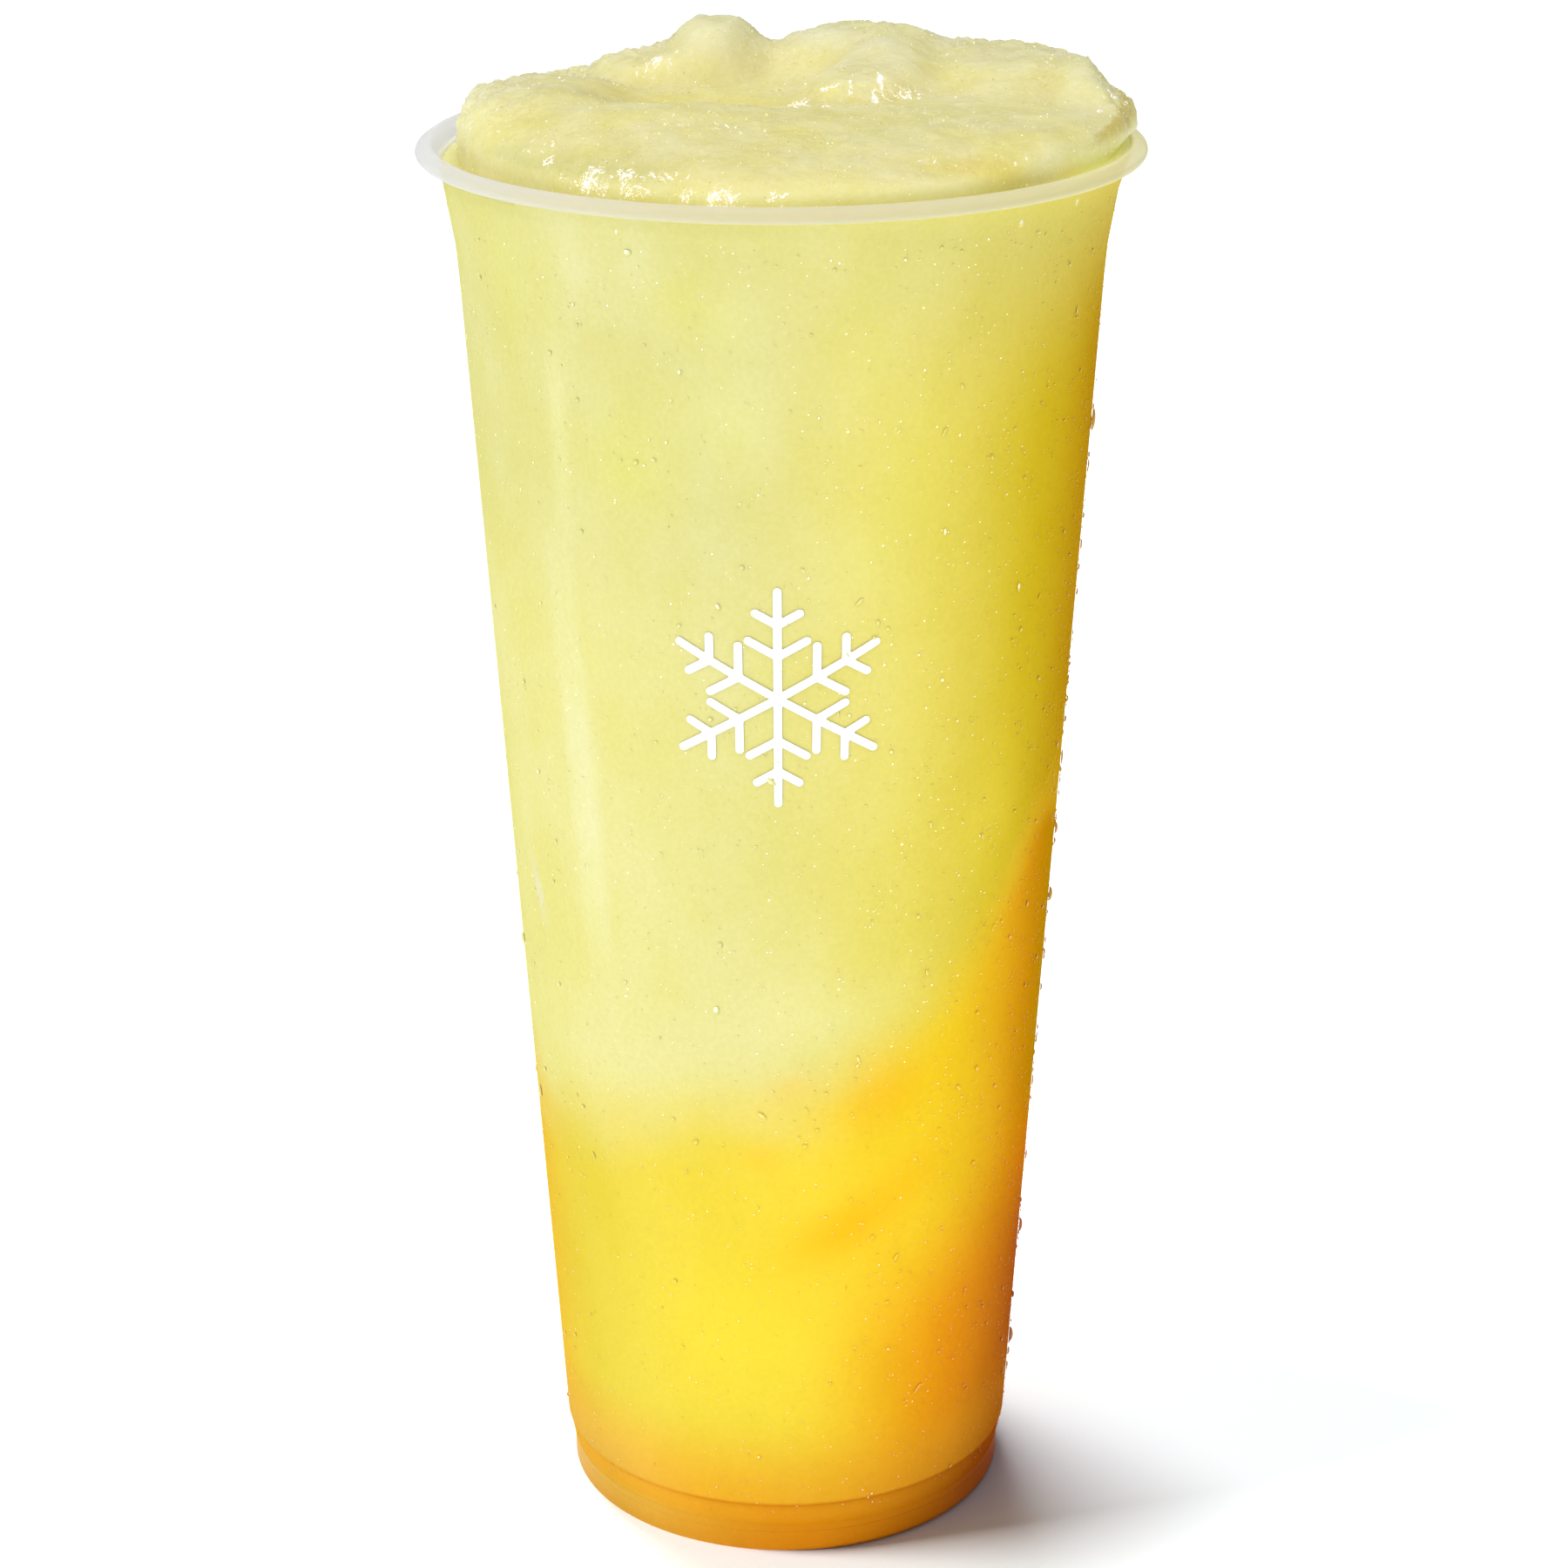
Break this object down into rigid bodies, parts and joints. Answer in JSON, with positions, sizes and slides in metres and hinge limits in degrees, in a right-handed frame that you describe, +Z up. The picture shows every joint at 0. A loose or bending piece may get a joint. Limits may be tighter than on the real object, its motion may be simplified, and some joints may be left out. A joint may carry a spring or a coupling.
{
  "type": "frozen slush drink",
  "caption": "Tall tapered clear plastic cup with a rolled rim and stepped foot, filled with frozen slush over a fruit layer and heaped above the rim, as a ready-to-drink cold drink.",
  "frame": {"origin": "centre of the cup's foot, on the surface it stands on", "axes": "+Z up along the cup's axis, -Y towards the front of the drink, +X to the viewer's right, where the fruit layer climbs the wall"},
  "size_m": [0.09, 0.09, 0.1953],
  "materials": {
    "cup": "clear, slightly frosted thin plastic with fine beads of condensation",
    "slush": "moist fine-grained pale lemon ice, softly translucent",
    "fruit_layer": "wet golden yellow fruit juice and puree with orange clouds"
  },
  "bodies": {
    "root": {"cup": "cup", "slush": "slush", "fruit_layer": "fruit_layer"}
  },
  "joints": []
}
